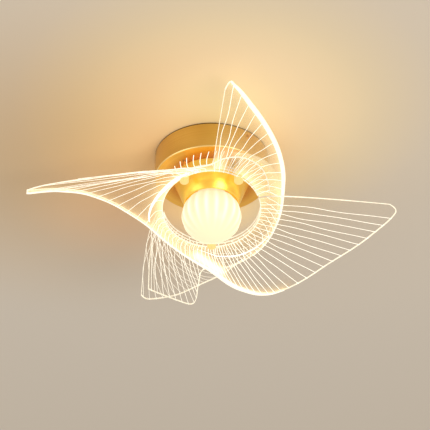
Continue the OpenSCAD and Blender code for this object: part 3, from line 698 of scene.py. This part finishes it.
def leaked_light(name, t, grid):
    """How much light leaks from each point of a sheet's grid, 0 to 1: it falls
    off exponentially away from the opening and from the edge light, and by a
    bell curve away from where two edge lights cross."""
    first, last = np.round(np.array(SHEETS[name].lit) * ROW_STEPS).astype(int)
    # Every other point of the lit edge is near enough
    lit_edge = grid[first:last + 1:2, -1]
    from_light = np.min(np.linalg.norm(grid[:, :, None] - lit_edge, axis=-1), axis=2)
    at_rim, fade = (glow_at(name, t, column)[:, None] for column in ("leak", "fade"))
    leak = at_rim * np.exp(-from_rim(grid) / fade) + LIGHT_LEAK * np.exp(-from_light / LIGHT_LEAK_R)
    if name == "swoosh":
        start, end = np.array(CROSSING)
        share = np.sum((grid - start) * (end - start), -1) / np.sum((end - start)**2)
        nearest = start + np.clip(share, 0, 1)[..., None] * (end - start)
        away = np.linalg.norm(grid - nearest, axis=-1)
        leak += CROSSING_LEAK * np.exp(-(away / CROSSING_R)**2)
    return np.clip(leak * out_of_shade(grid), 0, 1)


def acrylic_sheet(name):
    """A sheet of even thickness: two skins, half the thickness either side of
    the grid along its normals, closed by strips round all four borders."""
    top = len(SHEETS[name].rows) - 1
    t = np.linspace(0, top, top * ROW_STEPS + 1)
    grid, up = sheet_frame(name, t)
    half = up * SHEET_T / 2
    n, m = grid.shape[:2]
    skin = np.arange(n * m).reshape(n, m)
    faces = grid_faces(n, m) + [face[::-1] for face in grid_faces(n, m, start=n * m)]
    border = np.concatenate([skin[0, :-1], skin[:-1, -1], skin[-1, :0:-1], skin[:0:-1, 0]])
    after = np.roll(border, -1)
    faces += np.stack([border, border + n * m, after + n * m, after], -1).tolist()
    points = in_ring(np.concatenate([grid + half, grid - half])).reshape(-1, 3)
    piece = put(name + "_acrylic", points, faces, "lamp", ACRYLIC, "clear_acrylic", name + "_sheet")
    paint(piece, "leak", np.tile(leaked_light(name, t, grid).reshape(-1), 2))
    tidy_normals(piece)


def steps_between(first, last):
    """Row parameters from one row to another, twice as fine as the sheets'."""
    return np.linspace(first, last, round((last - first) * ROW_STEPS * 2) + 1)


def edge_frame(name, t, outer=True):
    """Path, up and outward directions along a sheet's outer edge or opening."""
    grid, up = sheet_frame(name, t)
    j = -1 if outer else 0
    path, up = grid[:, j], up[:, j]
    out = SHEETS[name].hand * unit(np.cross(up, np.gradient(path, axis=0)))
    return in_ring(path), turned(unit(up)), turned(out if outer else -out)


def fullness(name, path):
    """How full an edge light's silicone is at each point of its path: its
    table by the share of the way along, smoothed."""
    travel = travelled(path)
    return smoothed(np.interp(travel / travel[-1], *np.transpose(FULLNESS[name])), 4)


def edge_light(name):
    """The silicone trim: a rounded nose outside the edge, two lips over the
    sheet and a groove between them, carried along the lit part of the edge.
    Its nose, walls and lips are as full as its table says, and a square end
    has a cap over the groove."""
    path, up, out = edge_frame(name, steps_between(*SHEETS[name].lit))
    half = GLOW_H / 2
    nose = arc(GLOW_W - half, 0, half, -90, 90, 12)
    lip = [(-LIP_W + LIP_CORNER, half), (-LIP_W, half - LIP_CORNER)]
    groove = [(-LIP_W, GROOVE_HALF), (GROOVE_D, GROOVE_HALF),
              (GROOVE_D, -GROOVE_HALF), (-LIP_W, -GROOVE_HALF)]
    profile = np.array(nose + lip + groove + [(x, -z) for x, z in lip[::-1]])
    full = fullness(name, path)[:, None]
    width = np.where(profile[:, 0] > 0, full, LEAN_LIP + (1 - LEAN_LIP) * full)
    inside = np.clip(profile[:, 1], -GROOVE_HALF, GROOVE_HALF)
    shaped = np.stack([profile[:, 0] * width, inside + (profile[:, 1] - inside) * full], -1)
    parts = [carry(path, up, out, shaped)]
    if FULLNESS[name][0][1] > 0.5:
        ahead = unit(path[1] - path[0])
        solid = np.delete(shaped[0], np.arange(len(groove)) + len(nose + lip), axis=0)
        cap = np.stack([path[0] - CAP_T * ahead, path[0]])
        parts.append(carry(cap, up[:1].repeat(2, 0), out[:1].repeat(2, 0), solid))
    finish = SOFT_SILICONE if name == "tail" else SILICONE
    trim = put(name + "_edge_light", *joined(parts), "lamp", finish, "lit_silicone", name + "_glow")
    tidy_normals(trim)


def light_tape(name):
    """The tape inside an edge light: a thin strip in the groove, as far as
    the silicone round it has room for it, and as thin as that leaves it."""
    path, up, out = edge_frame(name, steps_between(*SHEETS[name].lit))
    full = fullness(name, path)
    kept = full > TAPE_NEEDS
    floor, half = GROOVE_D - TAPE_GAP, TAPE_W / 2
    profile = np.array([(floor - TAPE_T, -half), (floor, -half), (floor, half), (floor - TAPE_T, half)])
    thinned = profile[:, 0] * full[kept, None]
    shaped = np.stack([thinned, np.broadcast_to(profile[:, 1], thinned.shape)], -1)
    strip = carry(path[kept], up[kept], out[kept], shaped)
    tidy_normals(put(name + "_light_tape", *strip, "lamp", CIRCUIT, "led_tape", name + "_tape"))


def border_bead(name, t, outer):
    """The bead along a sheet's outer edge or round its opening: its points,
    its faces and how brightly each point shines."""
    path, up, out = edge_frame(name, t, outer)
    level = glow_at(name, t, "edge" if outer else "opening")
    if not outer:
        level = level * out_of_shade(sheet_grid(name, t, 1)[:, 0])
    profile = BEAD * (1, BEAD_HALF if outer else RIM_BEAD_HALF)
    return *carry(path, up, out, profile), level.repeat(len(BEAD))


def line_bead(name, t):
    """The bead along a sheet's first or last line, faint near the opening:
    its points, its faces and how brightly each point shines."""
    inwards = 1 if t == 0 else -1
    path, beside = sheet_grid(name, np.array([t, t + 0.02 * inwards]), LINE_STEPS)
    out = unit(path - beside)
    up = -inwards * SHEETS[name].hand * unit(np.cross(np.gradient(path, axis=0), out))
    rise = np.clip((from_rim(path) - BEAD_START) / BEAD_RISE, 0.1, 1)
    level = (glow_at(name, t, "edge") * rise).repeat(len(BEAD))
    return *carry(in_ring(path), turned(up), turned(out), BEAD * (1, BEAD_HALF)), level


def cut_edges(name):
    """The bright cut edges of a sheet: a low bead over the edge, round the
    opening, along the outer edge past the trim and along the lines at its
    two ends that shine."""
    top = len(SHEETS[name].rows) - 1
    first_shines, last_shines, spans = SHINING[name]
    beads = [border_bead(name, steps_between(0, top), False)]
    beads += [border_bead(name, steps_between(*span), True) for span in spans]
    beads += [line_bead(name, t) for t, shines in ((0, first_shines), (top, last_shines)) if shines]
    points, faces = joined([bead[:2] for bead in beads])
    piece = put(name + "_cut_edges", points, faces, "lamp", CUT_EDGE, "clear_acrylic")
    tidy_normals(paint(piece, "shine", np.concatenate([bead[2] for bead in beads])))


def line_rows(name):
    """Row parameters of a sheet's engraved lines: in each span of rows, its
    lines lie evenly spaced by the length of the outer edge between them."""
    sheet = SHEETS[name]
    fine = np.linspace(0, len(sheet.rows) - 1, 2400)
    travel = travelled(on_sheet(name, fine, np.ones(len(fine))))
    places = []
    for first, last, count in sheet.lines:
        start, end = np.interp((first, last), fine, travel)
        places.append(start + (np.arange(count) + 0.5) * (end - start) / count)
    return np.interp(np.concatenate(places), travel, fine)


def engraving(name):
    """The engraved lines of a sheet: each is a flat diamond carried along one
    of the sheet's lines on its lower skin, with a slight sideways wave that
    is the sum of two sines of the way out. Lines brighter than 1 are as much
    broader, and the wave dies away with the fourth power of that."""
    t = line_rows(name)
    back = np.interp(t, *np.transpose(SWEPT.get(name, [(0, 0)])))[:, None]
    to_go = 1 - np.linspace(0, 1, LINE_STEPS + 1)
    swept = t[:, None] * (1 - back * to_go**SWEEP_POWER)
    grid = sheet_grid(name, swept, LINE_STEPS)
    beside = sheet_grid(name, np.minimum(swept + 0.01, len(SHEETS[name].rows) - 1), LINE_STEPS)
    out = unit(np.gradient(grid, axis=1))
    up = upwards(name, beside - grid, out)
    side = unit(np.cross(up, out))
    length = np.linalg.norm(grid[:, -1] - grid[:, 0], axis=-1)[:, None]
    way = np.linspace(0, 1, grid.shape[1])
    shift = WAVE_SHIFT * np.arange(len(t))[:, None]
    wave = np.sin(WAVE_LONG * way + shift) + 0.5 * np.sin(WAVE_SHORT * way + 2 * shift)
    wave = WAVE[name] * length * np.sin(math.pi * way) * wave
    bright = np.maximum(glow_at(name, t, "lines"), 1)[:, None]
    path = grid - up * SHEET_T / 2 + (wave / bright**4)[..., None] * side
    half_w = ENGRAVED_W[name] / 2 * bright[..., None, None]
    points = (path[:, :, None] + half_w * np.array([-1, 0, 1, 0])[:, None] * side[:, :, None]
              + np.array([0, -ENGRAVED_H, 0, ENGRAVED_H])[:, None] * up[:, :, None])
    level = glow_at(name, t, "lines")[:, None] + RIM_SHINE * np.exp(-from_rim(path) / RIM_SHINE_FADE)
    level = level * out_of_shade(path)
    n, m, p = points.shape[:3]
    one, end = np.array(grid_faces(m, p, wrap=True)), np.arange(p)
    first = (np.arange(n) * m * p)[:, None]
    faces = (one + first[..., None]).reshape(-1, 4).tolist()
    faces += (first + end[::-1]).tolist() + (first + (m - 1) * p + end).tolist()
    rings = [ring_line(*given) for given in RING_LINES] if name == "swoosh" else []
    levels = [level.repeat(p)] + [np.full(len(ring_points), RING_SHINE) for ring_points, _ in rings]
    points, faces = joined([(in_ring(points).reshape(-1, 3), faces)] + rings)
    piece = put(name + "_engraving", points, faces, "lamp", ENGRAVED, "clear_acrylic")
    tidy_normals(paint(piece, "shine", np.concatenate(levels)))


def ring_line(widest, given):
    """A broad line round the opening: a flat diamond carried over the swoosh's
    lower skin along its given points, smoothed, and as wide as a sine of the
    way along, so that it is thin at both ends."""
    t = np.linspace(given[0][0], given[-1][0], RING_STEPS)
    v = smoothed(np.interp(t, *np.transpose(given)), 6)
    path, outwards, onwards = (
        on_sheet("swoosh", t + dt, v + dv) for dt, dv in ((0, 0), (0, 0.02), (0.02, 0)))
    up = SHEETS["swoosh"].hand * unit(np.cross(onwards - path, outwards - path))
    side = unit(np.cross(up, np.gradient(path, axis=0)))
    half_w = widest / 2 * np.sin(np.linspace(0.15, math.pi - 0.3, len(t)))[:, None]
    height = np.broadcast_to((0, -ENGRAVED_H, 0, ENGRAVED_H), (len(t), 4))
    profile = np.stack([half_w * (-1, 0, 1, 0), height], -1)
    return carry(in_ring(path - up * SHEET_T / 2), turned(up), turned(side), profile)


def face_sides(piece):
    """Each face's normal and middle, in metres: two arrays by face and axis."""
    facing, middle = np.zeros((2, len(piece.data.polygons) * 3))
    piece.data.polygons.foreach_get("normal", facing)
    piece.data.polygons.foreach_get("center", middle)
    return facing.reshape(-1, 3), middle.reshape(-1, 3)


def canopy():
    """The canopy's drum: its wall's profile, with a rounded lower edge and a
    rolled rim, turned about the axis. Its plate is a lighter copy of the brass
    with painted glow and painted shade, its rounded edge a painted highlight,
    and the band at its top a painted shadow line where it meets the ceiling."""
    inner, floor = CANOPY_R - CANOPY_WALL, -CANOPY_H
    top = floor + CANOPY_WALL
    profile = (
        arc(CANOPY_R - CANOPY_ROLL, -CANOPY_ROLL, CANOPY_ROLL, 90, 0, 4) + [(CANOPY_R, -SHADOW_LINE_DEPTH)]
        + arc(CANOPY_R - CANOPY_EDGE, floor + CANOPY_EDGE, CANOPY_EDGE, 0, -90)
        + [(60, floor), (30, floor), (NIPPLE_R, floor), (NIPPLE_R, top), (30, top)]
        + arc(inner - 1, top + 1, 1, -90, 0, 5) + arc(inner + 0.5, -0.5, 0.5, 180, 90, 4)
    )
    piece = put("canopy_brass", *revolve(profile), "lamp", CANOPY_BRASS, "brass", "canopy")
    tidy_normals(piece)
    for finish in (PLATE_BRASS, HIGHLIGHT_BRASS, SHADOW_LINE_BRASS):
        piece.data.materials.append(finish)
    facing, middle = face_sides(piece)
    down, height = -facing[:, 2], middle[:, 2]
    # The top band takes the painted shadow line, the plate its painted light and shade, the lower edge
    # the painted highlight
    trim = height > -SHADOW_LINE_DEPTH * MM
    edge = (down > HIGHLIGHT_DOWN) & (height < (CANOPY_WALL + CANOPY_EDGE - CANOPY_H) * MM)
    part = np.select([trim, down > PLATE_DOWN, edge], [3, 1, 2], 0)
    piece.data.polygons.foreach_set("material_index", part.astype(np.int32))


def bell():
    """The bell's cone: a straight wall with a rolled mouth, turned about the
    axis, closed on top by a disc. All of it has a painted glow, strongest on
    the inside and the mouth, for the light of the globe and the edge lights."""
    top, foot = -CANOPY_H, -CANOPY_H - BELL_H
    wall = BELL_WALL * math.hypot(1, (BELL_TOP_R - BELL_MOUTH_R) / BELL_H)
    side = [(BELL_TOP_R + (BELL_MOUTH_R - BELL_TOP_R) * k, top - BELL_H * k)
            for k in (0.03, 0.3, 0.6, 0.97)]
    under = top - BELL_WALL
    profile = (
        [(NIPPLE_R, top), (BELL_TOP_R - 1, top), (BELL_TOP_R - 0.2, top - 0.4)] + side
        + arc(BELL_MOUTH_R - wall / 2, foot + wall / 2, wall / 2, 20, -200)
        + [(BELL_TOP_R - wall - 1.5, top - 2.5), (BELL_TOP_R - wall - 3, under), (NIPPLE_R, under)]
    )
    piece = tidy_normals(put("bell_brass", *revolve(profile), "lamp", BELL_BRASS, "brass", "bell"))
    piece.data.materials.append(GLOW_PAINTED_BRASS)
    # Faces inside the bell, and those that look down, take the stronger painted glow
    facing, middle = face_sides(piece)
    inwards = np.sum(facing[:, :2] * middle[:, :2], -1) < 0
    inside = inwards & (middle[:, 2] < -(CANOPY_H + 2) * MM) | (facing[:, 2] < -0.5)
    piece.data.polygons.foreach_set("material_index", inside.astype(np.int32))


def globe():
    """The ribbed globe: a flattened ball whose radius gains a cosine rib that
    fades towards the poles, joined to a neck; the inner skin is the same ball
    without ribs, a wall's thickness in. The glow attribute is brightest on
    the ribs and falls off as a bell curve above and below the middle."""
    f = circle(GLOBE_RIBS * RIB_STEPS)
    around = len(f)
    neck_z = NECK_TOP + GLOBE_DROP
    lowest = -math.pi / 2 + POLE_GAP
    t = np.linspace(lowest, math.asin(NECK_SHARE), OUTER_ROWS)[:, None]
    r = GLOBE_A * np.cos(t) + RIB_H / 2 * np.cos(GLOBE_RIBS * f) * np.cos(t)**2
    z = np.broadcast_to(GLOBE_C * np.sin(t), r.shape)
    outer = np.stack([r * np.cos(f), r * np.sin(f), z], -1)
    neck = [(NECK_R, GLOBE_C * NECK_SHARE + 1.5), (NECK_R, neck_z - 2.4), (NECK_R + 1.3, neck_z - 2),
            (NECK_R + 1.5, neck_z - 0.5), (NECK_R + 1, neck_z), (NECK_R - GLASS_T, neck_z)]
    inner_a = GLOBE_A - GLASS_T - RIB_H / 2
    u = np.linspace(math.acos((NECK_R - GLASS_T) / inner_a), lowest, INNER_ROWS)
    inner = np.stack([inner_a * np.cos(u), (GLOBE_C - GLASS_T) * np.sin(u)], -1)
    rings = np.concatenate([outer, turned_points(np.concatenate([neck, inner]), f)])
    poles = [(0, 0, -GLOBE_C), (0, 0, GLASS_T - GLOBE_C)]
    points = np.concatenate([rings.reshape(-1, 3), poles])
    foot, inner_foot = len(points) - 2, len(points) - 1
    k = np.arange(around)
    after = (k + 1) % around
    last = foot - around
    faces = grid_faces(len(rings), around, wrap=True)
    faces += np.stack([np.full(around, foot), after, k], -1).tolist()
    faces += np.stack([np.full(around, inner_foot), last + k, last + after], -1).tolist()
    streak = (0.5 + 0.5 * np.cos(GLOBE_RIBS * f))**2
    height = np.exp(-((t - GLOW_AT) / GLOW_SPREAD)**2)
    level = np.zeros(len(points))
    level[:outer.size // 3] = (GLOW_ALL + GLOW_RIBS * height * streak).reshape(-1)
    points[:, 2] -= GLOBE_DROP
    paint(put("ribbed_globe", points, faces, "globe", OPAL, "opal_glass", "glass_globe"), "glow", level)


for sheet_name in SHEETS:
    acrylic_sheet(sheet_name)
    edge_light(sheet_name)
    light_tape(sheet_name)
    cut_edges(sheet_name)
    engraving(sheet_name)
canopy()
bell()
globe()

# Finishes of the nodes whose own solids are shown
FINISHES = {
    ZINC: ["ceiling_bracket", "nipple", "nipple_nuts", "driver_screws"],
    YELLOW_ZINC: ["carrier_screws"],
    TURNED_BRASS: ["side_screws", "earth_screw", "fitter_cup", "globe_collar"],
    TURNED_ACRYLIC: ["clamp_washers", "clamp_screws"],
    ROD_ACRYLIC: ["carrier_left", "carrier_right", "carrier_back"],
    ABS: ["terminal_block", "driver_case", "driver_cover"],
    CERAMIC: ["lampholder", "bulb_base"],
    FROSTED: ["bulb_cap"],
}
for finish, node_names in FINISHES.items():
    for node_name in node_names:
        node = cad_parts[node_name]
        node.data.materials.clear()
        node.data.materials.append(finish)


def ceiling_paint():
    """Matt white ceiling paint, seen only from below, with a painted pool of the
    lamp's light and painted shade to the left, and open inside the canopy, so
    that daylight gets in there."""
    material, bsdf = start_material("matt_ceiling_paint_with_painted_light", Roughness=0.9)
    place = add(material, "TexCoord")
    tone = None
    for blend, (x, y), stops in CEILING_PAINTED_LIGHT:
        shift = add(material, "Mapping", [("Vector", place, "Object")], Location=(-x, -y, 0))
        distance = add(material, "VectorMath", [(0, shift, 0)], operation="LENGTH")
        ramp = add(material, "ValToRGB", [("Fac", distance, "Value")], stops=stops)
        ramp.color_ramp.interpolation = "CARDINAL" if len(stops) > 2 else "EASE"
        before, tone = tone, (ramp, "Color")
        if before:
            blended = add(material, "Mix", [(0, 1.0), (6, *before), (7, *tone)],
                          data_type="RGBA", blend_type=blend)
            tone = (blended, 2)
    join(material, *tone, bsdf, "Base Color")
    radius = add(material, "VectorMath", [(0, place, "Object")], operation="LENGTH")
    opening = add(material, "Math", [(0, radius, "Value"), (1, (CANOPY_R - 2) * MM)],
                  operation="LESS_THAN")
    side = add(material, "NewGeometry")
    open_here = add(material, "Math", [(0, side, "Backfacing"), (1, opening, 0)], operation="MAXIMUM")
    clear = add(material, "BsdfTransparent")
    mix = add(material, "MixShader", [(0, open_here, 0), (1, bsdf, 0), (2, clear, 0)])
    join(material, mix, 0, material.node_tree.nodes["Material Output"], "Surface")
    return material


def ceiling():
    """The ceiling over the lamp: one square facing down, a stage."""
    r, z = CEILING_HALF, CEILING_Z
    mesh = bpy.data.meshes.new("ceiling")
    mesh.from_pydata([(-r, -r, z), (-r, r, z), (r, r, z), (r, -r, z)], [], [(0, 1, 2, 3)])
    mesh.materials.append(ceiling_paint())
    in_scene("ceiling", mesh)


def area_light(name, place, size, power):
    """A soft square lamp at a place, turned towards the middle of the lamp."""
    data = bpy.data.lights.new(name, "AREA")
    data.size = size
    data.energy = power
    data.color = linear("#FFF8F0")[:3]
    lamp = in_scene(name, data)
    lamp.location = place
    lamp.rotation_euler = (Vector((0, 0, -0.05)) - Vector(place)).to_track_quat("-Z", "Y").to_euler()


def surroundings():
    """Soft warm light from all round, and a plain pale backdrop wherever the
    camera, gloss or glass sees past the ceiling."""
    world = bpy.data.worlds.new("studio")
    bpy.context.scene.world = world
    world.use_nodes = True
    soft = world.node_tree.nodes["Background"]
    soft.inputs["Color"].default_value = linear("#FFF9F2")
    soft.inputs["Strength"].default_value = 0.6
    shown = add(world, "Background", Color=linear("#D8CCBA"))
    rays = add(world, "LightPath")
    seen = (rays, "Is Camera Ray")
    for ray in ("Is Glossy Ray", "Is Transmission Ray"):
        seen = (add(world, "Math", [(0, *seen), (1, rays, ray)], operation="MAXIMUM"), 0)
    mix = add(world, "MixShader", [(0, *seen), (1, soft, 0), (2, shown, 0)])
    join(world, mix, 0, world.node_tree.nodes["World Output"], "Surface")


def camera():
    """A camera 2 m from the lamp, looking up at 36 degrees as in the photo."""
    data = bpy.data.cameras.new("camera")
    data.sensor_width = 36.0
    data.lens = data.sensor_width * FOCAL_PX / PHOTO_W
    data.shift_x = SHIFT_PX[0] / PHOTO_W
    data.shift_y = SHIFT_PX[1] / PHOTO_W
    eye = in_scene("camera", data)
    eye.location = (0, -CAMERA_AWAY * math.cos(CAMERA_TILT),
                    CAMERA_AIM_Z - CAMERA_AWAY * math.sin(CAMERA_TILT))
    eye.rotation_euler = (math.radians(90) + CAMERA_TILT, 0, 0)
    bpy.context.scene.camera = eye


ceiling()
area_light("key_light", (1.6, -2.2, -1.8), 1.6, 48)
area_light("fill_light", (-2.2, -1.2, -2.0), 2.0, 18)
surroundings()
camera()
bpy.context.scene.view_settings.view_transform = "Standard"
